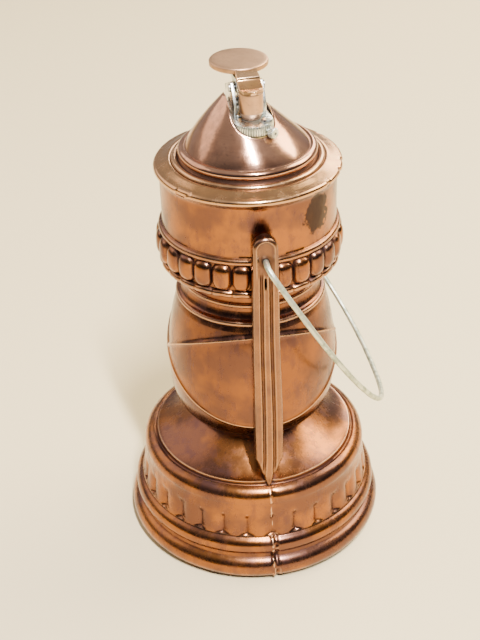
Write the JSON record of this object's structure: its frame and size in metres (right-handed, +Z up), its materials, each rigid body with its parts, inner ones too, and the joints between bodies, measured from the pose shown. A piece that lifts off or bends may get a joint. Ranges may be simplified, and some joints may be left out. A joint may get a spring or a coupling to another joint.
{
  "type": "table lighter shaped like a miner's lantern",
  "caption": "Copper lantern-shaped table lighter with a barrel globe, gadrooned crown, side posts, a swinging wire bail and a lift-out insert worked by a thumb disc.",
  "frame": {"origin": "centre of the felt under the foot, on the table", "axes": "+Z up along the lantern's axis, the two side posts on the Y axis, the bail resting towards +X, the snuffer towards -Y"},
  "size_m": [0.07, 0.0704, 0.1302],
  "materials": {
    "copper_cast": "copper plate on a zinc casting, satin lacquer, tarnished dark in places, worn pink on the edges",
    "copper_bright": "copper plated steel and brass, smoother, lightly tarnished",
    "nickel": "nickel plate, worn and slightly green in the corners",
    "steel": "plain steel",
    "hard_steel": "hardened file-cut steel, sooty",
    "bail_zinc": "dull zinc-coated wire, grey with a green cast",
    "brass": "plain drawn brass",
    "flint": "dark ferrocerium",
    "cotton": "white cotton",
    "felt": "green wool felt",
    "card": "grey-brown pressed card",
    "gasket": "black fibre washer"
  },
  "bodies": {
    "lamp": {"base_shell": "copper_cast", "base_plate": "steel", "base_card": "card", "base_felt": "felt", "tie_rod": "steel", "base_washer": "steel", "base_nut": "steel", "crown_nut": "steel", "globe_shell": "copper_cast", "crown_shell": "copper_cast", "roof_cone": "copper_cast", "insert_sleeve": "brass", "post_front": "copper_cast", "post_back": "copper_cast"},
    "bail": {"bail_wire": "bail_zinc"},
    "insert": {"insert_collar": "nickel", "tank_shell": "brass", "tank_base": "brass", "tank_wadding": "cotton", "wick_tube": "brass", "wick": "cotton", "flint_tube": "brass", "flint": "flint", "flint_spring": "steel", "flint_screw": "brass", "filler_screw": "brass", "filler_gasket": "gasket", "collar_screw": "nickel", "bracket": "nickel", "wheel_axle": "steel", "pivot_pin": "steel", "arm_spring": "steel"},
    "arm": {"lift_arm": "copper_bright", "arm_pawl": "steel", "thumb_disc": "copper_bright", "disc_rivet": "copper_bright", "snuffer_cap": "copper_bright", "snuffer_liner": "cotton"},
    "wheel": {"spark_wheel": "hard_steel"}
  },
  "joints": [
    {"name": "bail_swing", "type": "hinge", "parent": "lamp", "child": "bail", "pos_m": [0, 0, 0.0937], "axis": [0, -1, 0], "range_deg": [0, 294.8]},
    {"name": "insert_lift", "type": "slide", "parent": "lamp", "child": "insert", "axis": [0, 0, 1], "range_m": [0, 0.032]},
    {"name": "arm_press", "type": "hinge", "parent": "insert", "child": "arm", "pos_m": [0, 0, 0.126], "axis": [-0.9945, -0.1045, 0], "range_deg": [0, 32], "stiffness_Nm_per_rad": 0.004},
    {"name": "wheel_spin", "type": "hinge", "parent": "insert", "child": "wheel", "pos_m": [-0.00017, 0.00159, 0.1225], "axis": [-0.9945, -0.1045, 0], "range_deg": [0, 51.2]}
  ],
  "couplings": [
    {"joint": "wheel_spin", "follows": "arm_press", "ratio": 1.6}
  ]
}
